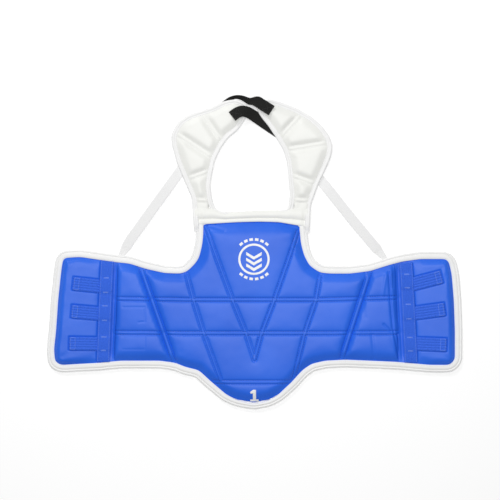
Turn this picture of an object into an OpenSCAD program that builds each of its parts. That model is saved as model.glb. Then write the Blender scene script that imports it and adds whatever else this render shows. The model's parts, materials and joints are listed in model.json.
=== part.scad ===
// Martial arts chest guard, laid flat with its front up and its back on the plane z = 0.
// X runs across the guard, Y up towards the shoulders, Z out of the front.
// The origin is the middle of the outline, at the level of the back.
// Left and right are those of someone looking at the front.

/* [Panel] */
// Overall width of the laid-out guard, which scales every outline
panel_w = 801; // [640:1:960]
// Width of the folded edge binding seen from the front
binding_w = 12.5; // [8:0.5:16]
// Height of the edge binding above the back
binding_h = 5; // [3:0.5:7]
// Thickness of the vinyl and lining sheets
cover_t = 1; // [0.6:0.1:1.5]
// Foam thickness over the chest and sides
foam_t = 12; // [8:1:20]
// Foam thickness at the laced ends
end_foam_t = 8; // [5:1:10]

/* [Shoulders] */
// Height at which the shoulder flaps lie, over the straps that cross behind them
flap_lift = 2; // [2:0.1:4]
// Foam thickness in the shoulder flaps
flap_foam_t = 9; // [6:1:12]
// Width of the binding round the flaps
flap_binding_w = 7; // [5:0.5:10]
// Gap between neighbouring foam segments of a flap
segment_gap = 9; // [6:1:12]

/* [Webbing] */
// Width of the lacing webbing
lacing_w = 25; // [20:1:30]
// Thickness of the lacing webbing
lacing_t = 1.4; // [1:0.1:2]
// Width of the flat straps from the shoulders to the sides
strap_w = 19; // [15:1:25]
// Thickness of straps and elastic
strap_t = 1.6; // [1:0.1:1.8]
// Width of the black elastic at the neck
elastic_w = 21; // [16:1:25]
// Length of one lacing tab
tab_l = 68; // [50:1:70]

/* [Folds] */
// Half of the soft channel that is left between two foam pads at a fold
channel_half = 4; // [3.5:0.1:5]
// Half of the gap between sheets, bindings and straps at a fold
fold_half = 1; // [1:0.1:2]

/* [Hidden] */
$fn = 32;

blue = "#1f5fe0";
webbing_blue = "#3355d0";
white = "#f4f4f0";
black = "#242422";
grey = "#8a8d94";

// All outlines are drawn for a guard of this width and then scaled to panel_w.
drawn_w = 801;
k = panel_w / drawn_w;
reach = 1000;

// The blue front, from the left end of the neckline and round clockwise.
front_outline = k * [
    [-103, 53], [-34, 57], [8, 58], [45, 57], [86, 50],
    [89, 16], [95, -7], [105, -26], [124, -39], [143, -41],
    [182, -41], [220, -36], [258, -24], [281, -18], [316, -13], [368, -13],
    [374, -21], [379, -45], [383, -93], [385, -151], [385, -209],
    [374, -220], [335, -220], [268, -214], [172, -210], [134, -212],
    [108, -218], [91, -230], [70, -253], [45, -275], [27, -285],
    [-4, -291], [-37, -285], [-57, -276], [-85, -253], [-110, -230],
    [-135, -224], [-155, -216], [-184, -212], [-260, -212], [-299, -216], [-337, -218],
    [-375, -220], [-387, -213], [-389, -189], [-385, -151], [-381, -93],
    [-375, -36], [-371, -11], [-337, -9], [-276, -18], [-241, -22],
    [-210, -32], [-174, -40], [-143, -41], [-131, -36], [-117, -22],
    [-110, -11], [-107, 1], [-104, 14], [-102, 35]
];

// The white band under the neckline, up to the fold that the shoulders turn on.
yoke_outline = k * [
    [-121, 84], [-117, 53], [-103, 53], [-34, 57], [8, 58], [45, 57], [86, 50],
    [99, 42], [104, 78], [105, 84], [65, 84], [63, 80], [3, 79], [-42, 76],
    [-57, 74], [-69, 79], [-78, 84]
];

// The shoulder flaps, each up its outer side from the fold and back down its neck side.
left_flap_outline = k * [
    [-121, 85], [-122, 102], [-129, 118], [-140, 144], [-151, 170], [-160, 202],
    [-162, 220], [-158, 233], [-147, 250], [-130, 262], [-107, 270], [-84, 277],
    [-61, 289], [-39, 293], [-26, 289], [-14, 281], [-15, 268], [-20, 253],
    [-34, 233], [-53, 218], [-67, 198], [-78, 175], [-84, 147], [-87, 126],
    [-84, 103], [-79, 85]
];
right_flap_outline = k * [
    [64, 85], [66, 110], [63, 145], [60, 175], [52, 198], [40, 218], [26, 239],
    [10, 259], [2, 273], [8, 288], [26, 294], [49, 287], [80, 275], [108, 259],
    [128, 241], [142, 222], [148, 203], [145, 182], [133, 154], [121, 129],
    [112, 105], [105, 85]
];
// Seams across the flaps, between the foam segments.
left_flap_seams = k * [
    [[-106, 270], [-66, 210]], [[-154, 228], [-78, 178]], [[-136, 138], [-80, 158]]
];
right_flap_seams = k * [
    [[48, 220], [92, 268]], [[58, 196], [144, 210]], [[66, 148], [126, 126]]
];
flap_foam_bottom = 97 * k;

// Fold lines, each given from its top to its bottom.
shoulder_fold = 85 * k;
left_wing_fold = k * [[-218, -38], [-158, -209]];
right_wing_fold = k * [[220, -38], [165, -208]];
left_end_fold = k * [[-269, -17], [-277, -214]];
right_end_fold = k * [[273, -17], [283, -215]];

// The armhole bindings run down from here and meet the tongue binding at the side folds.
armhole_top = 49 * k;
hem_top = -120 * k;

// Middle lines of the straps and of the lacing strips.
left_strap_line = k * [[-110, 216], [-147, 152], [-187, 97], [-241, 22], [-262, -14]];
right_strap_line = k * [[82, 180], [126, 137], [192, 54], [252, -16]];
left_strip_line = k * [[-285, -17], [-293, -213]];
right_strip_line = k * [[289, -20], [299, -214]];

// Lacing tabs: centre, and the angle that each one is turned to.
left_tabs = [[-317, -65, -6], [-318, -118, -5], [-320, -177, -1]];
right_tabs = [[325, -57, 15], [326, -116, 8], [327, -178, -2]];

front_top = cover_t + foam_t;
end_top = cover_t + end_foam_t;
flap_back_top = flap_lift + cover_t;
flap_top = flap_back_top + flap_foam_t;
flap_binding_h = 5;
// The flaps start this far above their fold, which lets them turn forward over the white band.
flap_clear = 3;
print_t = 0.3;
print_z = front_top + cover_t;
emblem_centre = k * [-3, -15];
emblem_r = 30;
emblem_ring = 4;
emblem_dash_r = 38;
numeral_centre = k * [-2, -277];

// The half plane to the right of the line from its first point to its second, kept clear of it.
module right_of(line, clear) {
    step = line[1] - line[0];
    translate(line[0])
        rotate(atan2(step.y, step.x))
            translate([-reach, -reach - clear])
                square([2 * reach, reach]);
}

module left_of(line, clear) {
    right_of([line[1], line[0]], clear);
}

module above(y) {
    translate([-reach, y]) square([2 * reach, reach]);
}

module below(y) {
    translate([-reach, y - reach]) square([2 * reach, reach]);
}

module left_half() {
    translate([-reach, -reach]) square([reach, 2 * reach]);
}

module right_half() {
    translate([0, -reach]) square([reach, 2 * reach]);
}

module front_shape() {
    offset(r = 8) offset(delta = -8) polygon(front_outline);
}

module panel_shape() {
    offset(r = binding_w) front_shape();
}

module edge_shape() {
    difference() {
        panel_shape();
        front_shape();
    }
}

// Each zone is the part of the plane that belongs to one body, kept clear of its folds.
module chest_zone(clear) {
    intersection() {
        left_of(left_wing_fold, clear);
        right_of(right_wing_fold, clear);
    }
}

module wing_zone(side, clear) {
    intersection() {
        if (side < 0) right_of(left_wing_fold, clear);
        else left_of(right_wing_fold, clear);
        if (side < 0) left_of(left_end_fold, clear);
        else right_of(right_end_fold, clear);
    }
}

module end_zone(side, clear) {
    if (side < 0) right_of(left_end_fold, clear);
    else left_of(right_end_fold, clear);
}

module slab(z, t) {
    translate([0, 0, z]) linear_extrude(t) children();
}

// A flat ribbon along a line of points, with round corners.
module ribbon_shape(line, w) {
    for (i = [0 : len(line) - 2]) {
        hull() {
            translate(line[i]) circle(d = w);
            translate(line[i + 1]) circle(d = w);
        }
    }
}

// ---- chest ----

module chest_foam() {
    color(grey)
        slab(cover_t, foam_t)
            intersection() {
                front_shape();
                chest_zone(channel_half);
            }
}

module chest_front_cover() {
    color(blue)
        slab(front_top, cover_t)
            intersection() {
                front_shape();
                chest_zone(channel_half);
            }
}

module chest_back_cover() {
    color(grey)
        slab(0, cover_t)
            intersection() {
                front_shape();
                chest_zone(fold_half);
            }
}

module tongue_binding() {
    color(white)
        slab(0, binding_h)
            intersection() {
                edge_shape();
                chest_zone(fold_half);
                below(hem_top);
            }
}

module armhole_binding() {
    color(white)
        slab(0, binding_h)
            intersection() {
                difference() {
                    edge_shape();
                    polygon(yoke_outline);
                    above(armhole_top);
                }
                chest_zone(fold_half);
                above(hem_top);
                children();
            }
}

module left_armhole_binding() {
    armhole_binding() left_half();
}

module right_armhole_binding() {
    armhole_binding() right_half();
}

module yoke_band() {
    color(white) slab(0, binding_h) polygon(yoke_outline);
}

module ring_shape(r, w) {
    difference() {
        circle(r = r, $fn = 64);
        circle(r = r - w, $fn = 64);
    }
}

// A plain ring round three chevrons, with a short row of dashes above and below it.
module chest_emblem() {
    color(white)
        slab(print_z, print_t)
            translate(emblem_centre) {
                ring_shape(emblem_r, emblem_ring);
                for (i = [-1 : 1]) {
                    translate([0, i * 11 - 3])
                        polygon([[-15, 6], [0, -3], [15, 6], [15, 0], [0, -9], [-15, 0]]);
                }
                for (a = [50 : 16 : 130], turn = [0, 180]) {
                    rotate(a + turn) translate([emblem_dash_r, 0]) square([5, 7], center = true);
                }
            }
}

module size_numeral() {
    color(white)
        slab(print_z, print_t)
            translate(numeral_centre) {
                translate([-8, -11.5]) square([16, 4]);
                translate([-3, -11.5]) square([6, 23]);
                polygon([[-8, 4], [-8, 7.5], [-3, 11.5], [0, 11.5], [0, 4]]);
            }
}

// ---- wings: the two side panels between the folds ----

module wing_foam(side) {
    color(grey)
        slab(cover_t, foam_t)
            intersection() {
                front_shape();
                wing_zone(side, channel_half);
            }
}

module wing_front_cover(side) {
    color(blue)
        slab(front_top, cover_t)
            intersection() {
                front_shape();
                wing_zone(side, channel_half);
            }
}

module wing_back_cover(side) {
    color(grey)
        slab(0, cover_t)
            intersection() {
                front_shape();
                wing_zone(side, fold_half);
            }
}

module wing_top_binding(side) {
    color(white)
        slab(0, binding_h)
            intersection() {
                edge_shape();
                wing_zone(side, fold_half);
                above(hem_top);
            }
}

module wing_hem_binding(side) {
    color(white)
        slab(0, binding_h)
            intersection() {
                edge_shape();
                wing_zone(side, fold_half);
                below(hem_top);
            }
}

module left_wing_foam() { wing_foam(-1); }
module left_wing_front_cover() { wing_front_cover(-1); }
module left_wing_back_cover() { wing_back_cover(-1); }
module left_wing_top_binding() { wing_top_binding(-1); }
module left_wing_hem_binding() { wing_hem_binding(-1); }
module right_wing_foam() { wing_foam(1); }
module right_wing_front_cover() { wing_front_cover(1); }
module right_wing_back_cover() { wing_back_cover(1); }
module right_wing_top_binding() { wing_top_binding(1); }
module right_wing_hem_binding() { wing_hem_binding(1); }

// ---- ends: the outer panels that carry the lacing ----

module end_foam(side) {
    color(grey)
        slab(cover_t, end_foam_t)
            intersection() {
                front_shape();
                end_zone(side, fold_half);
            }
}

module end_front_cover(side) {
    color(blue)
        slab(end_top, cover_t)
            intersection() {
                front_shape();
                end_zone(side, fold_half + 1);
            }
}

module end_back_cover(side) {
    color(grey)
        slab(0, cover_t)
            intersection() {
                front_shape();
                end_zone(side, fold_half);
            }
}

module end_binding(side) {
    color(white)
        slab(0, binding_h)
            intersection() {
                edge_shape();
                end_zone(side, fold_half);
            }
}

// The upright webbing is sewn down over the inner ends of the three tabs.
module lacing_strip(line) {
    step = line[1] - line[0];
    color(webbing_blue)
        slab(end_top + cover_t + lacing_t, lacing_t)
            translate((line[0] + line[1]) / 2)
                rotate(atan2(step.y, step.x))
                    square([norm(step), lacing_w], center = true);
}

module tab(place) {
    color(webbing_blue)
        slab(end_top + cover_t, lacing_t)
            translate(k * [place.x, place.y])
                rotate(place.z)
                    square([tab_l, lacing_w], center = true);
}

module left_end_foam() { end_foam(-1); }
module left_end_front_cover() { end_front_cover(-1); }
module left_end_back_cover() { end_back_cover(-1); }
module left_end_binding() { end_binding(-1); }
module left_lacing_strip() { lacing_strip(left_strip_line); }
module left_tab_top() { tab(left_tabs[0]); }
module left_tab_middle() { tab(left_tabs[1]); }
module left_tab_bottom() { tab(left_tabs[2]); }
module right_end_foam() { end_foam(1); }
module right_end_front_cover() { end_front_cover(1); }
module right_end_back_cover() { end_back_cover(1); }
module right_end_binding() { end_binding(1); }
module right_lacing_strip() { lacing_strip(right_strip_line); }
module right_tab_top() { tab(right_tabs[0]); }
module right_tab_middle() { tab(right_tabs[1]); }
module right_tab_bottom() { tab(right_tabs[2]); }

// ---- shoulders ----

module flap_shape(outline) {
    intersection() {
        offset(r = -3) offset(r = 6) offset(delta = -3) polygon(outline);
        above(shoulder_fold + flap_clear);
    }
}

module flap_pad_shape(outline) {
    intersection() {
        offset(delta = -flap_binding_w) polygon(outline);
        above(flap_foam_bottom);
    }
}

module flap_foam(outline, seams) {
    color(grey)
        slab(flap_back_top, flap_foam_t)
            difference() {
                flap_pad_shape(outline);
                for (seam = seams) ribbon_shape(seam, segment_gap);
            }
}

module flap_front_cover(outline) {
    color(white) slab(flap_top, cover_t) flap_pad_shape(outline);
}

module flap_back_cover(outline) {
    color(white)
        slab(flap_lift, cover_t)
            intersection() {
                offset(delta = -flap_binding_w) polygon(outline);
                above(shoulder_fold + flap_clear);
            }
}

// The ring round a flap, from one end of the fold to the other.
module flap_edge_shape(outline) {
    difference() {
        flap_shape(outline);
        offset(delta = -flap_binding_w) polygon(outline);
    }
}

// The binding is in two lengths that meet at the tip, one up the outer side and one round the neck.
module outer_binding(outline) {
    color(white)
        slab(flap_lift, flap_binding_h)
            intersection() {
                flap_edge_shape(outline);
                children();
            }
}

module neck_binding(outline) {
    color(white)
        slab(flap_lift, flap_binding_h)
            difference() {
                flap_edge_shape(outline);
                children();
            }
}

// A piece of the plane that holds a flap's outer edge, from the fold up to the tip.
module left_outer_side() {
    polygon(k * [
        [-100, 0], [-100, 130], [-120, 205], [-80, 245], [-28, 275], [0, 300], [-300, 400], [-300, 0]
    ]);
}

module right_outer_side() {
    polygon(k * [
        [85, 0], [85, 120], [105, 200], [60, 250], [14, 276], [-10, 300], [300, 400], [300, 0]
    ]);
}

module left_shoulder_foam() { flap_foam(left_flap_outline, left_flap_seams); }
module left_shoulder_front_cover() { flap_front_cover(left_flap_outline); }
module left_shoulder_back_cover() { flap_back_cover(left_flap_outline); }
module left_shoulder_outer_binding() { outer_binding(left_flap_outline) left_outer_side(); }
module left_shoulder_neck_binding() { neck_binding(left_flap_outline) left_outer_side(); }
module right_shoulder_foam() { flap_foam(right_flap_outline, right_flap_seams); }
module right_shoulder_front_cover() { flap_front_cover(right_flap_outline); }
module right_shoulder_back_cover() { flap_back_cover(right_flap_outline); }
module right_shoulder_outer_binding() { outer_binding(right_flap_outline) right_outer_side(); }
module right_shoulder_neck_binding() { neck_binding(right_flap_outline) right_outer_side(); }

// Each elastic starts on top of its own flap, drops off the tip and runs on flat behind the other flap.
// A place holds the middle of the elastic, the height of its underside and the way it is heading.
on_flap = flap_top + cover_t;
on_edge = flap_lift + flap_binding_h + 0.2;
left_elastic_places = [
    [-44, 260, on_flap, 38], [-31, 270, on_flap, 20], [-19, 270, on_flap, 0],
    [-12, 268, on_edge, -15], [-4, 265, 0, -35], [28, 240, 0, -42], [66, 196, 0, -46]
];
right_elastic_places = [
    [31, 270, on_flap, 147], [10, 284, on_flap, 155], [-1, 288, on_edge, 170],
    [-9, 289, 0, 178], [-35, 290, 0, 192], [-56, 277, 0, 216], [-86, 254, 0, 226],
    [-104, 226, 0, 238]
];

module elastic_bar(place) {
    translate([k * place.x, k * place.y, place.z])
        rotate(place[3])
            translate([-0.1, -elastic_w / 2, 0])
                cube([0.2, elastic_w, strap_t]);
}

module elastic(places) {
    color(black)
        for (i = [0 : len(places) - 2]) {
            hull() {
                elastic_bar(places[i]);
                elastic_bar(places[i + 1]);
            }
        }
}

module left_neck_elastic() { elastic(left_elastic_places); }
module right_neck_elastic() { elastic(right_elastic_places); }

module strap_shape(line) {
    difference() {
        ribbon_shape(line, strap_w);
        panel_shape();
    }
}

// A strap lies in three lengths, cut where the folds of the shoulders and of the wing cross it.
module strap_top(line) {
    color(white)
        slab(0, strap_t)
            intersection() {
                strap_shape(line);
                above(shoulder_fold + fold_half);
            }
}

module strap_middle(line) {
    color(white)
        slab(0, strap_t)
            intersection() {
                strap_shape(line);
                below(shoulder_fold - fold_half);
                chest_zone(fold_half);
            }
}

module strap_end(line, side) {
    color(white)
        slab(0, strap_t)
            intersection() {
                strap_shape(line);
                wing_zone(side, fold_half);
            }
}

module left_strap_top() { strap_top(left_strap_line); }
module left_strap() { strap_middle(left_strap_line); }
module left_strap_end() { strap_end(left_strap_line, -1); }
module right_strap_top() { strap_top(right_strap_line); }
module right_strap() { strap_middle(right_strap_line); }
module right_strap_end() { strap_end(right_strap_line, 1); }

chest_foam();
chest_front_cover();
chest_back_cover();
tongue_binding();
left_armhole_binding();
right_armhole_binding();
yoke_band();
chest_emblem();
size_numeral();
left_strap();
right_strap();
left_wing_foam();
left_wing_front_cover();
left_wing_back_cover();
left_wing_top_binding();
left_wing_hem_binding();
left_strap_end();
right_wing_foam();
right_wing_front_cover();
right_wing_back_cover();
right_wing_top_binding();
right_wing_hem_binding();
right_strap_end();
left_end_foam();
left_end_front_cover();
left_end_back_cover();
left_end_binding();
left_lacing_strip();
left_tab_top();
left_tab_middle();
left_tab_bottom();
right_end_foam();
right_end_front_cover();
right_end_back_cover();
right_end_binding();
right_lacing_strip();
right_tab_top();
right_tab_middle();
right_tab_bottom();
left_shoulder_foam();
left_shoulder_front_cover();
left_shoulder_back_cover();
left_shoulder_outer_binding();
left_shoulder_neck_binding();
left_neck_elastic();
left_strap_top();
right_shoulder_foam();
right_shoulder_front_cover();
right_shoulder_back_cover();
right_shoulder_outer_binding();
right_shoulder_neck_binding();
right_neck_elastic();
right_strap_top();
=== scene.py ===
# A martial arts chest guard lying on its back: blue quilted front, white bindings and shoulder flaps,
# blue lacing webbing at both ends, black neck elastics and white cross-back straps.
import json
import math

import bmesh
import bpy
import numpy as np
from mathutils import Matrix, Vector, noise
from mathutils.bvhtree import BVHTree


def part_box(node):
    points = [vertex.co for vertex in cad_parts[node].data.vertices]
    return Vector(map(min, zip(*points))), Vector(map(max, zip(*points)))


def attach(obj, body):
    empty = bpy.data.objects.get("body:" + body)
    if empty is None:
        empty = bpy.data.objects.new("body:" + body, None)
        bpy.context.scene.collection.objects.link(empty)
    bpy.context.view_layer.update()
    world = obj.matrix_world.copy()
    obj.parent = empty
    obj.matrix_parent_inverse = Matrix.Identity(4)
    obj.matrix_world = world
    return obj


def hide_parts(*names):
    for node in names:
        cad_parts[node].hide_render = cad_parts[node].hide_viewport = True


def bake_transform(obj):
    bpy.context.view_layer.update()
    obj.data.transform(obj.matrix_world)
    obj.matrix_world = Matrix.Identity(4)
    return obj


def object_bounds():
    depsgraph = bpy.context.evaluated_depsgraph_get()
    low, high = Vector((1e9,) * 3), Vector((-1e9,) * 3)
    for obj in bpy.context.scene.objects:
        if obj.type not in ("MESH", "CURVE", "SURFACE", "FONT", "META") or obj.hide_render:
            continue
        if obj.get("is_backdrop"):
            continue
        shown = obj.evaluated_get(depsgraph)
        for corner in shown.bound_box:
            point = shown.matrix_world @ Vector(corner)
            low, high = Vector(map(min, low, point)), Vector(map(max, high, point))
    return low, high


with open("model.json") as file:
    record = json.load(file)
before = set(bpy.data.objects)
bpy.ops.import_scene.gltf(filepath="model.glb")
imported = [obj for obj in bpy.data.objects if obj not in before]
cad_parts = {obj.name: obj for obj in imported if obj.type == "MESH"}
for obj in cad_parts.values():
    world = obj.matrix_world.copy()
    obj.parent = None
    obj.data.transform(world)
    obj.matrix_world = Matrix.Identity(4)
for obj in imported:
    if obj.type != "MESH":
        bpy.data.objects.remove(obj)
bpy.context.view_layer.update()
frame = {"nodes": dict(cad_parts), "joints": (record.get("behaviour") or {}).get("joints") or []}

MM = 0.001

# ---- Room ----
# A camera straight above the guard, a wide soft light overhead and a smaller one beyond the shoulders,
# which throws short shadows. The world is white to look at and dimmer as a light, so that the soft
# folds keep their shading.
camera_height = 4.0
camera_middle = (-0.0106, 0.0027)
view_across = 0.96
pad_top = 0.01
sensor_width = 36
camera_data = bpy.data.cameras.new("camera")
camera_data.sensor_width = sensor_width
camera_data.lens = sensor_width * (camera_height - pad_top) / view_across
camera = bpy.data.objects.new("camera", camera_data)
camera.location = (*camera_middle, camera_height)
bpy.context.scene.collection.objects.link(camera)
bpy.context.scene.camera = camera


def soft_light(name, place, size, power):
    """A square light turned to the middle of the guard."""
    data = bpy.data.lights.new(name, "AREA")
    data.shape = "SQUARE"
    data.size = size
    data.energy = power
    lamp = bpy.data.objects.new(name, data)
    lamp.location = place
    lamp.rotation_euler = (-Vector(place)).to_track_quat("-Z", "Y").to_euler()
    bpy.context.scene.collection.objects.link(lamp)


soft_light("overhead_light", (-0.03, 0.34, 2.3), 1.2, 28.5)
soft_light("key_light", (-1.2, 3.0, 2.2), 0.9, 36)
world_look, world_light = 1.0, 0.33
world = bpy.data.worlds.new("studio")
bpy.context.scene.world = world
world.use_nodes = True
sky = world.node_tree.nodes["Background"]
sky.inputs["Color"].default_value = (1, 1, 1, 1)
rays = world.node_tree.nodes.new("ShaderNodeLightPath")
seen = world.node_tree.nodes.new("ShaderNodeMapRange")
seen.inputs["To Min"].default_value = world_light
seen.inputs["To Max"].default_value = world_look
world.node_tree.links.new(rays.outputs["Is Camera Ray"], seen.inputs["Value"])
world.node_tree.links.new(seen.outputs["Result"], sky.inputs["Strength"])
bpy.context.scene.view_settings.view_transform = "Standard"


# ---- Quilted blue front ----
# Five foam pads under one sheet of glossy embossed vinyl: the chest, two wings and two laced ends.
# Each is blown up as cloth between its seams, then the double seams are pressed into it.
def node_mesh(name):
    """A merged copy of a CAD node's mesh, as a bmesh."""
    shape = bmesh.new()
    shape.from_mesh(frame["nodes"][name].data)
    bmesh.ops.remove_doubles(shape, verts=shape.verts, dist=0.02 * MM)
    return shape


def top_loops(name):
    """The outlines of a flat node's top, each as an ordered closed list of points in the plane."""
    shape = node_mesh(name)
    top = max(v.co.z for v in shape.verts)
    upper = {f for f in shape.faces if f.normal.z > 0.9 and f.calc_center_median().z > top - 0.1 * MM}
    rim = [e for e in shape.edges if sum(f in upper for f in e.link_faces) == 1]
    steps = {}
    for e in rim:
        for a, b in (e.verts, reversed(e.verts)):
            steps.setdefault(a.index, []).append(b.index)
    places = {v.index: (v.co.x, v.co.y) for e in rim for v in e.verts}
    loops, left = [], set(places)
    while left:
        loop = [min(left)]
        left.discard(loop[0])
        while True:
            onward = [n for n in steps[loop[-1]] if n in left]
            if not onward:
                break
            loop.append(onward[0])
            left.discard(onward[0])
        loops.append(np.array([places[i] for i in loop]))
    shape.free()
    return loops


def segments_of(loop, closed=True):
    """The pairs of neighbouring points of a line, as segments."""
    after = np.roll(loop, -1, axis=0)
    pairs = np.stack([loop, after], axis=1)
    return pairs if closed else pairs[:-1]


def mm_segments(line):
    """The segments of an open line whose points are in mm."""
    return segments_of(np.array(line) * MM, closed=False)


def distance_to(points, segments):
    """The distance in the plane from each point to the nearest of the segments."""
    nearest = np.full(len(points), 9.0)
    for a, b in segments:
        step = b - a
        share = np.clip(((points - a) @ step) / max(step @ step, 1e-12), 0, 1)
        gap = np.linalg.norm(points - a - share[:, None] * step, axis=1)
        nearest = np.minimum(nearest, gap)
    return nearest


def smooth_step(x):
    x = np.clip(x, 0, 1)
    return x * x * (3 - 2 * x)


def rises(x, start, width):
    """A smooth rise from 0 to 1 that begins at start and takes width, both in mm."""
    return smooth_step((x - start * MM) / (width * MM))


def dip(off, depth, half):
    """A smooth hollow over a line, depth deep and fading away past half to each side, both in mm."""
    return depth * MM * np.exp(-(off / (half * MM)) ** 2)


folds = {}
for joint in frame["joints"]:
    at, along = np.array(joint["pos_m"][:2]), np.array(joint["axis"][:2])
    folds[joint["child"]] = np.stack([at - along, at + along])


def lies_on_fold(segment, slack=2.2 * MM):
    return any(distance_to(segment, [fold]).max() < slack for fold in folds.values())


# The edge of the blue front: every rim piece of the back covers that isn't along a fold.
front_edge = np.array([
    pair for cover in ("chest", "left_wing", "right_wing", "left_end", "right_end")
    for loop in top_loops(cover + "_back_cover") for pair in segments_of(loop) if not lies_on_fold(pair)
])

# Double seams, each along its middle: the V down the chest, the slanting ones beside it,
# two right across the guard and a short one over the tongue.
seams = [np.array(line) * MM for line in (
    [(-97, 49), (-44, -94), (-18, -158), (-2, -208)],
    [(82, 38), (36, -94), (11, -159), (-2, -208)],
    [(-132, -45), (-119, -94), (-99, -159), (-66, -250)],
    [(124, -48), (116, -94), (94, -159), (73, -247)],
    [(-268, -91), (-130, -93), (120, -93), (273, -89)],
    [(-270, -156), (-130, -157), (120, -157), (276, -156)],
    [(-80, -251), (72, -251)],
)]
seam_pairs = np.concatenate([segments_of(line, closed=False) for line in seams])
seam_half = 3.6 * MM
back_cover_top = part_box("chest_back_cover")[1].z
front_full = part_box("chest_front_cover")[1].z
edge_level = 4.4 * MM
roll_width = 19 * MM


def coords(piece):
    flat = np.empty(len(piece.data.vertices) * 3)
    piece.data.vertices.foreach_get("co", flat)
    return flat.reshape(-1, 3)


def set_coords(piece, places):
    piece.data.vertices.foreach_set("co", places.ravel())
    piece.data.update()


def activate(piece):
    bpy.ops.object.select_all(action="DESELECT")
    piece.select_set(True)
    bpy.context.view_layer.objects.active = piece


def node_copy(node, name):
    """A new piece with the merged mesh of a CAD node."""
    shape = node_mesh(node)
    mesh = bpy.data.meshes.new(name)
    shape.to_mesh(mesh)
    shape.free()
    piece = bpy.data.objects.new(name, mesh)
    bpy.context.scene.collection.objects.link(piece)
    activate(piece)
    return piece


def even_out(piece, voxel):
    """Gives the active piece an even quad mesh."""
    even = piece.modifiers.new("even", "REMESH")
    even.mode = "VOXEL"
    even.voxel_size = voxel
    bpy.ops.object.modifier_apply(modifier="even")


def puff(piece, sewn, pressure, most):
    """Blows the piece up as cloth where it isn't sewn down, and keeps any point within most of its place."""
    last_step = 20
    before = coords(piece)
    held = piece.vertex_groups.new(name="sewn")
    held.add([int(i) for i in np.nonzero(sewn)[0]], 1.0, "REPLACE")
    activate(piece)
    cloth = piece.modifiers.new("blown", "CLOTH")
    cloth.settings.quality = 5
    cloth.settings.mass = 0.3
    cloth.settings.tension_stiffness = 12
    cloth.settings.compression_stiffness = 12
    cloth.settings.bending_stiffness = 0.6
    cloth.settings.use_pressure = True
    cloth.settings.uniform_pressure_force = pressure
    cloth.settings.vertex_group_mass = "sewn"
    cloth.settings.effector_weights.gravity = 0
    cloth.point_cache.frame_start, cloth.point_cache.frame_end = 1, last_step
    for step in range(1, last_step + 1):
        bpy.context.scene.frame_set(step)
    bpy.ops.object.modifier_apply(modifier="blown")
    bpy.context.scene.frame_set(1)
    moved = coords(piece) - before
    length = np.linalg.norm(moved, axis=1)
    set_coords(piece, before + moved * np.minimum(1, most / np.maximum(length, 1e-9))[:, None])
    piece.vertex_groups.clear()


def refine(piece, chosen):
    """Splits once the upper faces whose middles chosen() picks out."""
    activate(piece)
    bpy.ops.object.mode_set(mode="EDIT")
    bpy.ops.mesh.select_all(action="DESELECT")
    bpy.ops.object.mode_set(mode="OBJECT")
    middles = np.array([f.center for f in piece.data.polygons])
    ups = np.array([f.normal.z for f in piece.data.polygons])
    pick = chosen(middles) & (ups > 0.3)
    piece.data.polygons.foreach_set("select", pick)
    bpy.ops.object.mode_set(mode="EDIT")
    bpy.ops.mesh.subdivide(number_cuts=1)
    bpy.ops.object.mode_set(mode="OBJECT")


def subdivide(piece):
    """Rounds the piece off with one level of subdivision."""
    activate(piece)
    finer = piece.modifiers.new("finer", "SUBSURF")
    finer.levels = finer.render_levels = 1
    bpy.ops.object.modifier_apply(modifier="finer")


def wavy(places, size, seed):
    """Smooth noise from -1 to 1 over the plane, with humps about size across."""
    return np.array([noise.noise(Vector((p[0] / size, p[1] / size, seed))) for p in places])


# Creases and prints of what has lain on the vinyl: a line, its depth and its half width, in mm.
creases = [
    ([(256, -40), (258, -70), (259, -92), (261, -118), (264, -150), (272, -190), (276, -208)], 2.8, 2.4),
    ([(264, -30), (264, -70)], 1.2, 2.0),
    ([(262, -152), (270, -186)], -1.2, 2.4),
    ([(274, -160), (277, -204)], 2.4, 2.2),
    ([(246, -140), (262, -156)], 1.3, 2.0),
    ([(250, -44), (244, -84)], -0.9, 3.0),
    ([(-254, -107), (-212, -107), (-212, -135), (-224, -136)], 0.5, 1.8),
    ([(-254, -163), (-212, -163), (-212, -188), (-254, -188)], 0.32, 1.8),
    ([(74, 20), (96, -8)], 1.0, 4.0),
    ([(68, 2), (104, -20)], 0.8, 4.0),
    ([(206, -95), (210, -126)], 0.5, 4.0),
    ([(224, -160), (228, -206)], 0.9, 3.5),
    ([(-92, 50), (-60, 40)], 0.7, 3.0),
    ([(60, 52), (84, 40)], 0.9, 3.0),
]
crease_pairs = np.concatenate([mm_segments(line) for line, depth, half in creases])


def press_seams(places):
    """How far the sheet is drawn down at each place by the seams and creases, in metres."""
    flat = places[:, :2]
    off = distance_to(flat, seam_pairs)
    stitched = dip(off - seam_half, 1.6, 1.0)
    beside = 1.0 * MM * np.exp(-np.maximum(off - seam_half, 0) / (4 * MM))
    between = dip(off, 0.7, 1.8)
    drawn = stitched + beside - between
    for line, depth, half in creases:
        drawn += dip(distance_to(flat, mm_segments(line)), depth, half)
    return drawn


def front_level(flat):
    """The height of the unsewn front over each place: it rolls down to the edge all round."""
    return edge_level + (front_full - edge_level) * smooth_step(distance_to(flat, front_edge) / roll_width)


def shape_pad(piece, slab, floor, level):
    """Sets the height of a slab's top by level(), and lays its bottom flat at the floor's height."""
    foot, top = slab
    places = coords(piece)
    share = np.clip((places[:, 2] - foot) / (top - foot), 0, 1)
    places[:, 2] = floor + share * (level(places[:, :2]) - floor)
    set_coords(piece, places)


# Beside each fold, in mm: where the roll starts, how wide it is and how far it goes down.
channel_rolls = {
    "left_wing": (4, 8, 3.4), "right_wing": (4, 8, 3.4),
    "left_end": (1.5, 7, 9.4), "right_end": (3, 12, 9),
}


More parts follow.
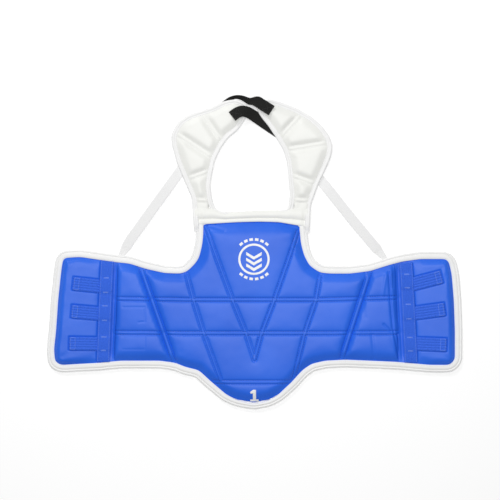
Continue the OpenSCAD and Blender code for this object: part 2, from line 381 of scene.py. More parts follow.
def channel_roll(flat, child):
    """How far a pad comes down as it nears the fold at its side."""
    start, width, depth = channel_rolls[child]
    return depth * MM * (1 - rises(distance_to(flat, [folds[child]]), start, width))


def main_pad(panel, fold_names):
    """The pad of the chest or a wing, which rolls down at its edge and at its folds."""
    node = panel + "_foam"
    piece = node_copy(node, panel + "_pad")
    even_out(piece, 5 * MM)

    def level(flat):
        height = front_level(flat)
        for child in fold_names:
            height = np.minimum(height, front_full - channel_roll(flat, child))
        return height

    shape_pad(piece, [corner.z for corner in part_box(node)], back_cover_top, level)
    places = coords(piece)
    flat = places[:, :2]
    sewn = distance_to(flat, seam_pairs) < 4.5 * MM
    sewn |= distance_to(flat, front_edge) < 5 * MM
    sewn |= places[:, 2] < back_cover_top + 3 * MM
    for child in fold_names:
        sewn |= distance_to(flat, [folds[child]]) < (8 if child.endswith("wing") else 10) * MM
    puff(piece, sewn, 3.5, 2.3 * MM)
    subdivide(piece)
    marks = np.concatenate([seam_pairs, crease_pairs])
    refine(piece, lambda middles: distance_to(middles[:, :2], marks) < 8 * MM)
    places = coords(piece)
    share = np.clip((places[:, 2] - 2 * MM) / (5 * MM), 0, 1)
    uneven = 0.45 * MM * wavy(places, 55 * MM, 3.3) + 0.12 * MM * wavy(places, 14 * MM, 8.1)
    places[:, 2] -= share * (press_seams(places) + uneven)
    set_coords(piece, places)
    activate(piece)
    bpy.ops.object.shade_smooth()
    return piece


def new_material(name, roughness):
    """A material and the sockets of its surface shader."""
    material = bpy.data.materials.new(name)
    material.use_nodes = True
    surface = material.node_tree.nodes["Principled BSDF"].inputs
    surface["Roughness"].default_value = roughness
    return material, surface


def noise_over(material, places, scale, detail):
    """Noise over the places that a socket gives."""
    cloud = material.node_tree.nodes.new("ShaderNodeTexNoise")
    cloud.inputs["Scale"].default_value = scale
    cloud.inputs["Detail"].default_value = detail
    material.node_tree.links.new(places, cloud.inputs["Vector"])
    return cloud.outputs["Fac"]


def combined(material, first, second, operation):
    """Two patterns added or multiplied."""
    total = material.node_tree.nodes.new("ShaderNodeMath")
    total.operation = operation
    material.node_tree.links.new(first, total.inputs[0])
    material.node_tree.links.new(second, total.inputs[1])
    return total.outputs["Value"]


def shade_by(material, pattern, low, high, span=(0, 1)):
    """Colours a material from low to high as a pattern goes over its span."""
    shades = material.node_tree.nodes.new("ShaderNodeValToRGB")
    first, last = shades.color_ramp.elements
    first.position, last.position = span
    first.color, last.color = (*low, 1), (*high, 1)
    surface = material.node_tree.nodes["Principled BSDF"].inputs
    material.node_tree.links.new(pattern, shades.inputs["Fac"])
    material.node_tree.links.new(shades.outputs["Color"], surface["Base Color"])


def raise_by(material, pattern, distance, strength):
    """Tilts a material's normal as if a pattern stood up from it."""
    bump = material.node_tree.nodes.new("ShaderNodeBump")
    bump.inputs["Strength"].default_value = strength
    bump.inputs["Distance"].default_value = distance
    surface = material.node_tree.nodes["Principled BSDF"].inputs
    material.node_tree.links.new(pattern, bump.inputs["Height"])
    material.node_tree.links.new(bump.outputs["Normal"], surface["Normal"])


def grained(name, low, high, roughness, grain_size, grain_height, drift_scale, drift_detail, span):
    """Vinyl, cloth or ink with a fine pressed grain, whose colour drifts between two near shades."""
    material, surface = new_material(name, roughness)
    places = material.node_tree.nodes.new("ShaderNodeTexCoord").outputs["Object"]
    cells = material.node_tree.nodes.new("ShaderNodeTexVoronoi")
    cells.feature = "SMOOTH_F1"
    cells.inputs["Scale"].default_value = 1 / grain_size
    material.node_tree.links.new(places, cells.inputs["Vector"])
    fine = noise_over(material, places, 0.6 / grain_size, 4)
    raise_by(material, combined(material, cells.outputs["Distance"], fine, "ADD"), grain_height, 0.5)
    shade_by(material, noise_over(material, places, drift_scale, drift_detail), low, high, span)
    return material, surface


def finish_piece(piece, material, nodes=()):
    piece.data.materials.clear()
    piece.data.materials.append(material)
    if nodes:
        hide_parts(*nodes)


blue_vinyl, gloss = grained("blue_vinyl", (0.014, 0.128, 0.77), (0.021, 0.147, 0.83), 0.42,
                            0.9 * MM, 0.12 * MM, 9, 3, (0.35, 0.65))
gloss["Specular IOR Level"].default_value = 0.34
gloss["Coat Weight"].default_value = 0.05
gloss["Coat Roughness"].default_value = 0.3

pads = {}
for panel, body, fold_names in (
    ("chest", "torso", ("left_wing", "right_wing")),
    ("left_wing", "left_wing", ("left_wing", "left_end")),
    ("right_wing", "right_wing", ("right_wing", "right_end")),
):
    pads[body] = main_pad(panel, fold_names)
    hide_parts(panel + "_foam", panel + "_front_cover")
    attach(pads[body], body)


# The laced ends are thinner: a crest runs round just inside the edge and the pad sinks to the strip.
# The strip and the three tabs press their outlines into it.
outward = {"left": -1, "right": 1}
strip_ends = {
    "left": [(-285, -19), (-289.5, -115), (-293, -212)],
    "right": [(289, -22), (294, -115), (299, -213)],
}
# Each tab's place and turn in degrees, and how far it reaches out from there, in mm.
tabs = {
    "left": {"top": (-317, -65, -6, 34), "middle": (-318, -118, -5, 36), "bottom": (-320, -177, -1, 38)},
    "right": {"top": (325, -57, 15, 34), "middle": (326, -116, 8, 38), "bottom": (327, -178, -2, 40)},
}
tab_root = 33
tape_half = 12.5


def tab_heading(side, angle):
    """The level direction in which a tab points out."""
    turn = math.radians(angle)
    return np.array([math.cos(turn), math.sin(turn)]) * outward[side]


def tape_prints(side):
    """The outlines of the webbing on an end, as segments."""
    outlines = [np.array(strip_ends[side]) + (shift, 0) for shift in (-tape_half, tape_half)]
    for x, y, angle, reach in tabs[side].values():
        ahead = tab_heading(side, angle)
        out = np.array([-ahead[1], ahead[0]]) * tape_half
        steps = ((-tab_root, -1), (reach, -1), (reach, 1), (-tab_root, 1))
        outlines.append([np.array((x, y)) + a * ahead + b * out for a, b in steps])
    return np.concatenate([mm_segments(outline) for outline in outlines])


def end_pad(side):
    """The pad of a laced end, thin at the strip and with a crest round its other sides."""
    node = side + "_end_foam"
    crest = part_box(side + "_end_front_cover")[1].z + 3 * MM
    strip_level = 5.2 * MM
    piece = node_copy(node, side + "_end_pad")
    even_out(piece, 4 * MM)
    fold = folds[side + "_end"]

    def level(flat):
        off_fold = distance_to(flat, [fold])
        inside = distance_to(flat, front_edge)
        outer = rises(off_fold, 0, 118)
        full = strip_level + (crest - strip_level) * outer
        ridge = outer * dip(inside - 11 * MM, 1.5, 5)
        sunk = 2.6 * MM * (1 - rises(off_fold, 1, 9))
        return edge_level + (full - edge_level) * rises(inside, 0, 11) + ridge - sunk

    shape_pad(piece, [corner.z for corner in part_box(node)], back_cover_top, level)
    places = coords(piece)
    flat = places[:, :2]
    sewn = (distance_to(flat, front_edge) < 5 * MM) | (distance_to(flat, [fold]) < 30 * MM)
    sewn |= places[:, 2] < back_cover_top + 1.5 * MM
    puff(piece, sewn, 2.5, 1.2 * MM)
    subdivide(piece)
    prints = tape_prints(side)
    refine(piece, lambda middles: distance_to(middles[:, :2], prints) < 5 * MM)
    places = coords(piece)
    share = np.clip((places[:, 2] - 2 * MM) / (3 * MM), 0, 1)
    pressed = dip(distance_to(places[:, :2], prints), 1.3, 1.7)
    uneven = 0.4 * MM * wavy(places, 45 * MM, 5.1) + 0.1 * MM * wavy(places, 12 * MM, 2.2)
    places[:, 2] -= share * (pressed + uneven)
    set_coords(piece, places)
    activate(piece)
    bpy.ops.object.shade_smooth()
    return piece


ends = {}
for side in outward:
    ends[side] = end_pad(side)
    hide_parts(side + "_end_foam", side + "_end_front_cover")
    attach(ends[side], side + "_end")

for pad in (*pads.values(), *ends.values()):
    finish_piece(pad, blue_vinyl)


# ---- Soft channels at the folds ----
# Where the guard bends, the vinyl is stitched straight to the lining with no foam between.
# A raised welt shows between the two seams of a side fold, and a plain valley beside the webbing.
def even_line(points, step, softness=0, closed=False):
    """The line through the points in even steps, with its corners eased a little more at each pass."""
    points = np.asarray(points, float)
    if closed:
        points = np.vstack([points, points[:1]])
    reach = np.concatenate([[0], np.cumsum(np.linalg.norm(np.diff(points, axis=0), axis=1))])
    count = int(round(reach[-1] / step)) + 1
    marks = np.linspace(0, reach[-1], count, endpoint=not closed)
    line = np.stack([np.interp(marks, reach, points[:, k]) for k in range(points.shape[1])], axis=1)
    for _ in range(softness):
        eased = 0.5 * line + 0.25 * (np.roll(line, 1, axis=0) + np.roll(line, -1, axis=0))
        if not closed:
            eased[0], eased[-1] = line[0], line[-1]
        line = eased
    return line


def sideways(line, turn=1, closed=False):
    """The level unit vector across a line at each point, to its left for turn 1 and its right for -1."""
    flat = line[:, :2]
    if closed:
        ahead = np.roll(flat, -1, axis=0) - np.roll(flat, 1, axis=0)
    else:
        ahead = np.gradient(flat, axis=0)
    ahead /= np.linalg.norm(ahead, axis=1)[:, None]
    return turn * np.stack([-ahead[:, 1], ahead[:, 0], np.zeros(len(flat))], axis=1)


def lay_tape(name, middle, across, profile, bend=50):
    """Sweeps a closed profile along a line. profile(i) gives row i's loop of (sideways, height) points."""
    rows, shapes = len(middle), np.array([profile(i) for i in range(len(middle))])
    if middle.shape[1] == 2:
        middle = np.column_stack([middle, np.zeros(rows)])
    cols = shapes.shape[1] + 1
    bpy.ops.object.select_all(action="DESELECT")
    bpy.ops.mesh.primitive_grid_add(x_subdivisions=rows - 1, y_subdivisions=cols - 1, size=2)
    piece = bpy.context.object
    piece.name = piece.data.name = name
    at = coords(piece)
    row = np.rint((at[:, 0] + 1) / 2 * (rows - 1)).astype(int)
    col = np.rint((at[:, 1] + 1) / 2 * (cols - 1)).astype(int) % (cols - 1)
    picked = shapes[row, col]
    places = middle[row] + across[row] * picked[:, :1]
    places[:, 2] += picked[:, 1]
    set_coords(piece, places)
    length = np.linalg.norm(np.diff(middle, axis=0), axis=1).sum()
    girth = np.linalg.norm(shapes[0] - np.roll(shapes[0], 1, axis=0), axis=1).sum()
    spread = np.empty(len(piece.data.loops) * 2)
    piece.data.uv_layers.active.uv.foreach_get("vector", spread)
    piece.data.uv_layers.active.uv.foreach_set("vector", (spread.reshape(-1, 2) * (length, girth)).ravel())
    bpy.ops.object.mode_set(mode="EDIT")
    bpy.ops.mesh.select_all(action="SELECT")
    bpy.ops.mesh.remove_doubles(threshold=0.005 * MM)
    bpy.ops.mesh.fill_holes(sides=0)
    bpy.ops.mesh.select_all(action="SELECT")
    bpy.ops.mesh.normals_make_consistent(inside=False)
    bpy.ops.object.mode_set(mode="OBJECT")
    bpy.ops.object.shade_smooth_by_angle(angle=math.radians(bend))
    return piece


fold_at, fold_out = {}, {}
for joint in frame["joints"]:
    child = joint["child"]
    if "shoulder" in child:
        continue
    along = np.array(joint["axis"][:2])
    out = np.array([along[1], -along[0]])
    fold_at[child] = np.array(joint["pos_m"][:2])
    fold_out[child] = out * (np.sign(out[0]) * (-1 if child.startswith("left") else 1))


def beyond(flat, child):
    """How far each place is past a fold, away from the chest."""
    return (flat - fold_at[child]) @ fold_out[child]


fold_reach = {"left_wing": 4 * MM, "right_wing": 4 * MM, "left_end": 2 * MM, "right_end": 2 * MM}


def bend_at(piece, child, reach=None):
    """Bakes a piece's placement into its mesh where it crosses a fold; no body holds it."""
    reach = reach or fold_reach[child]
    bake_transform(piece)


edge_line = front_edge.reshape(-1, 2)
fold_lines = {}
for child in fold_at:
    near = edge_line[np.abs(beyond(edge_line, child)) < 2 * MM]
    top, foot = near[near[:, 1].argmax()], near[near[:, 1].argmin()]
    top, foot = (p - beyond(p, child) * fold_out[child] for p in (top, foot))
    fold_lines[child] = even_line([top, foot], 3 * MM)

welt_shape = [
    (-7.5, 7.6), (-5.4, 8.8), (-4.2, 9.7), (-3.0, 10.6), (-1.8, 11.5), (0, 12.0), (1.8, 11.5),
    (3.0, 10.6), (4.2, 9.7), (5.4, 8.8), (7.5, 7.6), (7.3, 1.2), (0, 1.2), (-7.3, 1.2),
]
valley_shape = [
    (-7.5, 4.2), (-5.0, 4.1), (-3.0, 3.5), (-1.5, 2.7), (0, 2.3), (1.5, 2.7), (3.0, 3.5),
    (5.0, 4.1), (7.5, 4.2), (7.3, 1.2), (0, 1.2), (-7.3, 1.2),
]
# The seams that run right across the guard draw each channel down where they cross it.
crossing_pairs = np.concatenate([segments_of(line, closed=False) for line in seams[4:]])
for child, line in fold_lines.items():
    shape = np.array(welt_shape if child.endswith("wing") else valley_shape) * MM
    ease = smooth_step(distance_to(line, front_edge) / roll_width)
    drawn = dip(distance_to(line, crossing_pairs), 1.6, 4.5)

    def channel(i, shape=shape, ease=ease, drawn=drawn):
        row = shape.copy()
        top = row[:, 1] > 2 * MM
        row[top, 1] = edge_level + (row[top, 1] - edge_level) * ease[i] - drawn[i] * ease[i]
        return row

    welt = lay_tape(child + "_channel", line, sideways(line), channel, 70)
    finish_piece(welt, blue_vinyl)
    bend_at(welt, child)


# ---- Blue thread ----
# Two rows of lockstitch run along every quilted seam, in thread darker than the vinyl: part of that darkness
# is painted shade, standing in for the shaded needle holes.
# One small stitch is modelled and laid along each row, pulled into the surface.
def surface_of(piece):
    """A search tree of a piece's faces, for finding the height of its top."""
    mesh = piece.data
    return BVHTree.FromPolygons([v.co for v in mesh.vertices], [p.vertices for p in mesh.polygons])


def height_on(tree, flat):
    """The height of the surface over each place, or nan where there is none."""
    found = []
    for x, y in flat:
        hit = tree.ray_cast(Vector((x, y, 0.08)), Vector((0, 0, -1)))[0]
        found.append(np.nan if hit is None else hit.z)
    return np.array(found)


bpy.ops.object.select_all(action="DESELECT")
bpy.ops.mesh.primitive_uv_sphere_add(segments=6, ring_count=4, radius=1)
stitch = bpy.context.object
stitch.name = "one_stitch"
bpy.ops.object.mode_set(mode="EDIT")
bpy.ops.mesh.select_all(action="SELECT")
bpy.ops.transform.rotate(value=math.radians(90), orient_axis="Y", center_override=(0, 0, 0))
bpy.ops.object.mode_set(mode="OBJECT")
stitch_places = coords(stitch)
stitch_faces = [tuple(p.vertices) for p in stitch.data.polygons]
bpy.data.objects.remove(stitch)


def sew(name, rows, material, size=(1.3, 0.5, 0.34)):
    """One piece of thread: a stitch of this size in mm at each centre of each row, turned to its heading."""
    centres, headings = (np.concatenate(parts) for parts in zip(*rows))
    count = len(stitch_places)
    shape = stitch_places * np.array(size) * MM
    verts, faces = [], []
    for i, (centre, ahead) in enumerate(zip(centres, headings)):
        turned = np.column_stack([
            shape[:, 0] * ahead[0] - shape[:, 1] * ahead[1],
            shape[:, 0] * ahead[1] + shape[:, 1] * ahead[0],
            shape[:, 2],
        ])
        verts.append(turned + centre)
        faces += [tuple(n + i * count for n in face) for face in stitch_faces]
    mesh = bpy.data.meshes.new(name)
    mesh.from_pydata(np.concatenate(verts).tolist(), [], faces)
    thread = bpy.data.objects.new(name, mesh)
    bpy.context.scene.collection.objects.link(thread)
    activate(thread)
    bpy.ops.object.shade_smooth()
    finish_piece(thread, material)
    return thread


def stitches_on(tree, line, step, sink=0.0, keep=None):
    """A row of stitches laid along a line on a surface, as their centres and headings."""
    row = even_line(line, step)
    middles = (row[1:] + row[:-1]) / 2
    ahead = (row[1:] - row[:-1])[:, :2]
    ahead = ahead / np.linalg.norm(ahead, axis=1)[:, None]
    level = height_on(tree, middles)
    here = ~np.isnan(level)
    if keep is not None:
        here &= keep(middles, level)
    return np.column_stack([middles[here], level[here] - sink]), ahead[here]


def both_sides(middle, off):
    """The two lines that run beside a line, off to each side of it."""
    return [middle + turn * off * sideways(middle)[:, :2] for turn in (-1, 1)]


def wave_over(material, places, scale, distortion, direction="X"):
    """Fine stripes over the places that a socket gives."""
    wave = material.node_tree.nodes.new("ShaderNodeTexWave")
    wave.bands_direction = direction
    wave.inputs["Scale"].default_value = scale
    wave.inputs["Distortion"].default_value = distortion
    material.node_tree.links.new(places, wave.inputs["Vector"])
    return wave.outputs["Fac"]


def threads(name, tone):
    """Sewing thread with a darker twist."""
    material, surface = new_material(name, 0.55)
    places = material.node_tree.nodes.new("ShaderNodeTexCoord").outputs["Object"]
    shade_by(material, wave_over(material, places, 900, 2), [0.8 * c for c in tone], tone)
    return material


def clear_of_edge(middles, level):
    return (distance_to(middles, front_edge) > 1 * MM) & (level > 3 * MM)


# The thread is coloured dark partly as painted shade of the needle holes along the seams.
blue_thread_with_hole_shade = threads("blue_thread_with_hole_shade", (0.004, 0.035, 0.32))
quilt_step = 4.6 * MM
pad_trees = {body: surface_of(pad) for body, pad in pads.items()}
for body, tree in pad_trees.items():
    rows = []
    for line in seams:
        for row in both_sides(even_line(line, 2 * MM), seam_half):
            rows.append(stitches_on(tree, row, quilt_step, 0.05 * MM, clear_of_edge))
    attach(sew(body + "_thread", rows, blue_thread_with_hole_shade), body)
for child in ("left_wing", "right_wing"):
    tree = surface_of(bpy.data.objects[child + "_channel"])
    rows = [stitches_on(tree, row, quilt_step) for row in both_sides(fold_lines[child], 3.3 * MM)]
    bend_at(sew(child + "_fold_thread", rows, blue_thread_with_hole_shade), child)


# ---- White edge binding ----
# Satin tape folded over the raw edge all round, with a rolled outer edge and one row of stitches.
# It is laid in lengths that lap just past each fold, so that every length crosses one fold at most.
def white_cloth(name, tone, roughness, grain_size, grain_height):
    """White cloth or vinyl that is a shade darker in patches."""
    worn = [0.955 * c for c in tone]
    material, sheen = grained(name, worn, tone, roughness, grain_size, grain_height, 14, 4, (0.3, 0.7))
    sheen["Sheen Weight"].default_value = 0.15
    return material


white_binding = white_cloth("white_binding", (0.93, 0.93, 0.925), 0.5, 0.5 * MM, 0.08 * MM)
white_thread = threads("white_thread", (0.84, 0.84, 0.84))
binding_step = 3.6 * MM


def chained(pairs):
    """Joins loose edges end to end into one line."""
    left = list(pairs)
    line = list(left.pop(0))
    while left:
        gaps = [np.linalg.norm(pair - line[-1], axis=1).min() for pair in left]
        pair = left.pop(int(np.argmin(gaps)))
        if np.linalg.norm(pair[1] - line[-1]) < np.linalg.norm(pair[0] - line[-1]):
            pair = pair[::-1]
        line.extend(pair)
    return np.array(line)


rim_step = 2.5 * MM
rim = even_line(chained(front_edge), rim_step, softness=7, closed=True)
after = np.roll(rim, -1, axis=0)
turns_left = np.sum(rim[:, 0] * after[:, 1] - after[:, 0] * rim[:, 1]) > 0
rim_out = sideways(rim, -1 if turns_left else 1, closed=True)
binding_shape = np.array([
    (-1.9, 5.0), (-1.7, 5.7), (-0.9, 6.2), (0.6, 6.5), (3.0, 6.75), (5.4, 6.7), (7.0, 6.2), (7.7, 5.3),
    (8.1, 5.2), (8.6, 5.6), (9.6, 6.2), (10.8, 6.0), (12.0, 5.0), (12.5, 3.4), (12.6, 1.6), (12.5, 0.1),
    (9.0, 0.05), (4.0, 0.05), (0.5, 0.1), (-1.6, 0.6), (-2.0, 2.0),
]) * MM


def run_of(mask):
    """The indexes of the longest run of rim points where the mask holds, in order round the rim."""
    runs = []
    for first in np.nonzero(mask & ~np.roll(mask, 1))[0]:
        run = [first]
        while mask[(run[-1] + 1) % len(mask)]:
            run.append((run[-1] + 1) % len(mask))
        runs.append(run)
    return np.array(max(runs, key=len))


def pucker(line, seed):
    """Small ripples along a binding, in metres."""
    return 0.30 * MM * wavy(line, 9 * MM, seed) + 0.35 * MM * wavy(line, 40 * MM, seed + 4)


def bind_edge(name, run, node):
    """One length of binding and its row of stitches."""
    line, out = rim[run], rim_out[run]
    if "armhole" in name:
        # It runs straight on behind the white band, in eight steps of 2 mm.
        top = int(line[:, 1].argmax())
        rising = np.array([0, 1.0]) * np.arange(1, 9)[:, None] * 2 * MM + line[top]
        steady = np.tile(out[top], (8, 1))
        line = np.vstack([line, rising]) if top else np.vstack([rising[::-1], line])
        out = np.vstack([out, steady]) if top else np.vstack([steady, out])
    ripple = pucker(line, 1.7)
    swell = pucker(line, 9.2)
    if "wing" not in name:
        swell[[0, -1]] -= 0.5 * MM
        ripple[[0, -1]] -= 0.4 * MM
    if name == "tongue_binding_left":
        swell = swell + 0.3 * MM * rises(line[:, 0], -8, 8)
    # The tape is turned further over the blue at the tip of the tongue.
    lip = dip(line[:, 0], 4.5, 42) * (line[:, 1] < -230 * MM)

    def shape(i):
        row = binding_shape.copy()
        row[:5, 0] += lip[i] * np.array([1, 1, 1, 0.8, 0.4])
        row[-3:, 0] += lip[i] * np.array([0.5, 1, 1])
        row[5:15, 0] += ripple[i]
        row[1:14, 1] += swell[i]
        return row

    piece = lay_tape(name, line, out, shape)
    finish_piece(piece, white_binding, [node])
    rows = [stitches_on(surface_of(piece), line + 0.9 * MM * out[:, :2], binding_step)]
    return piece, sew(name + "_thread", rows, white_thread, (1.2, 0.32, 0.22))


past = {child: beyond(rim, child) for child in fold_at}
lap = 9 * MM
high = rim[:, 1] > -120 * MM
on_neck = rim[:, 1] > 44 * MM
binding_runs = {}
for side, sign in outward.items():
    own = rim[:, 0] * sign > 0
    on_wing, on_end = past[side + "_wing"], past[side + "_end"]
    by_chest = on_wing <= lap + rim_step
    wing_part = own & (on_wing > lap) & (on_end < lap)
    binding_runs[side + "_armhole_binding"] = (own & high & by_chest & ~on_neck, side + "_wing")
    binding_runs[side + "_wing_top_binding"] = (wing_part & high, side + "_end")
    binding_runs[side + "_wing_hem_binding"] = (wing_part & ~high, side + "_end")
    binding_runs[side + "_end_binding"] = (own & (on_end >= lap - rim_step), None)
    to_tip = rim[:, 0] * sign > (-6 * MM if side == "left" else 0)
    binding_runs["tongue_binding_" + side] = (to_tip & ~high & by_chest, side + "_wing")
for name, (mask, fold) in binding_runs.items():
    node = "tongue_binding" if name.startswith("tongue") else name
    for part in bind_edge(name, run_of(mask), node):
        if fold:
            bend_at(part, fold, 4 * MM)
        else:
            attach(part, name.replace("_binding", ""))


# ---- White band under the neckline ----
# A strip of white vinyl folded over the top edge of the blue front, with a crease along it.
# The shoulder flaps are sewn into its two ends, which draws it into small wrinkles there.
def eased(values, softness):
    """Evens out a row of values, a little more at each pass."""
    return even_line(np.column_stack([np.arange(len(values)) * 1.0, values]), 1, softness)[:, 1]


white_vinyl = white_cloth("white_vinyl", (0.905, 0.91, 0.875), 0.45, 0.9 * MM, 0.10 * MM)
yoke_foot = even_line(np.array([
    (-118, 52), (-103, 53.5), (-34, 57.5), (8, 58.5), (45, 57.5), (86, 50.5), (102, 47),
]) * MM, 2 * MM, softness=6)
yoke_top = np.array([
    (-130, 84), (-80, 84), (-70, 79), (-57, 75), (-42, 76), (3, 79), (60, 80), (68, 84), (110, 84),
]) * MM
yoke_width = eased(np.interp(yoke_foot[:, 0], yoke_top[:, 0], yoke_top[:, 1]) - yoke_foot[:, 1], 4)
# The band's section: how far past the foot in mm, then as a share of the width, and the height in mm.
yoke_shape = [
    (-1.6, 0, 5.0), (-1.5, 0, 6.6), (-0.3, 0, 7.4), (0, 0.12, 7.7), (0, 0.2, 7.5), (0, 0.25, 6.2),
    (0, 0.3, 6.4), (0, 0.38, 7.9), (0, 0.52, 8.8), (0, 0.68, 8.9), (0, 0.82, 8.2), (0, 0.93, 6.6),
    (0, 1.0, 4.2), (0, 0.99, 1.6), (0, 0.9, 0.3), (0, 0.5, 0.1), (0, 0.1, 0.1), (-1.5, 0, 1.5),
]
yoke_pinch = dip(yoke_foot[:, 0] + 104 * MM, 1.1, 24) + dip(yoke_foot[:, 0] - 92 * MM, 1.1, 20)
yoke_ripple = 0.35 * MM * wavy(yoke_foot, 16 * MM, 4.4) + yoke_pinch * wavy(yoke_foot, 7 * MM, 6.0)


def yoke_row(i):
    row = np.array([(own * MM + share * yoke_width[i], up * MM) for own, share, up in yoke_shape])
    row[2:12, 1] += yoke_ripple[i] * np.array([0.2, 0.5, 0.8, 0.9, 1, 1, 0.9, 0.7, 0.5, 0.3])
    return row


yoke = lay_tape("yoke_band", yoke_foot, np.tile([0.0, 1.0, 0.0], (len(yoke_foot), 1)), yoke_row, 60)
subdivide(yoke)
finish_piece(yoke, white_vinyl, ["yoke_band"])
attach(yoke, "torso")


# ---- Shoulder flaps ----
# Two leaf-shaped pads of thin white foam, each sewn into four segments and bound round its edge.
# Their flat roots run down behind the white band, and the shoulder fold line lies just above it.
shoulder_line = next(j["pos_m"][1] for j in frame["joints"] if j["child"] == "left_shoulder")


def fold_over_shoulder(piece):
    start, end = (0, shoulder_line - 5 * MM, 0), (0, shoulder_line + 7 * MM, 0)
    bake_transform(piece)
    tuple(start)
    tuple(end)


def cut_slab(name, outline, low, high, voxel):
    """A slab cut to an outline, with an even mesh."""
    bpy.ops.object.select_all(action="DESELECT")
    bpy.ops.mesh.primitive_circle_add(vertices=len(outline), radius=1, fill_type="NGON")
    piece = bpy.context.object
    piece.name = piece.data.name = name
    set_coords(piece, np.column_stack([outline, np.full(len(outline), low)]))
    bpy.ops.object.mode_set(mode="EDIT")
    bpy.ops.mesh.select_all(action="SELECT")
    bpy.ops.mesh.extrude_region_move(TRANSFORM_OT_translate={"value": (0, 0, high - low)})
    bpy.ops.mesh.select_all(action="SELECT")
    bpy.ops.mesh.normals_make_consistent(inside=False)
    bpy.ops.object.mode_set(mode="OBJECT")
    even_out(piece, voxel)
    return piece


def flap_outline(side):
    """The outer edge of a flap's binding, from the foot of its outer side round to its neck side."""
    inside = np.concatenate([segments_of(loop) for loop in top_loops(side + "_shoulder_back_cover")])
    pairs = []
    for part in ("outer", "neck"):
        for loop in top_loops(side + "_shoulder_" + part + "_binding"):
            for pair in segments_of(loop):
                middle = pair.mean(axis=0)
                if distance_to(middle[None], inside)[0] > 6 * MM and middle[1] > 89 * MM:
                    pairs.append(pair)

    def rank(pair):
        """Puts the foot of the outer side first."""
        x, y = pair.mean(axis=0)
        return y - outward[side] * 3 * x * (y < 100 * MM)

    pairs.sort(key=rank)
    if pairs[0][0][1] > pairs[0][1][1]:
        pairs[0] = pairs[0][::-1]
    return chained(pairs)


# The seams across each flap, and the seam at the foot of its lowest segment.
flap_seams = {
    "left": [
        [(-106, 270), (-66, 210)], [(-154, 228), (-78, 178)],
        [(-136, 138), (-80, 158)], [(-118, 99), (-84, 98)],
    ],
    "right": [
        [(48, 220), (92, 268)], [(58, 196), (144, 210)],
        [(66, 148), (126, 126)], [(66, 100), (108, 97)],
    ],
}
flap_seam_pairs = {
    side: np.concatenate([mm_segments(line) for line in lines]) for side, lines in flap_seams.items()
}
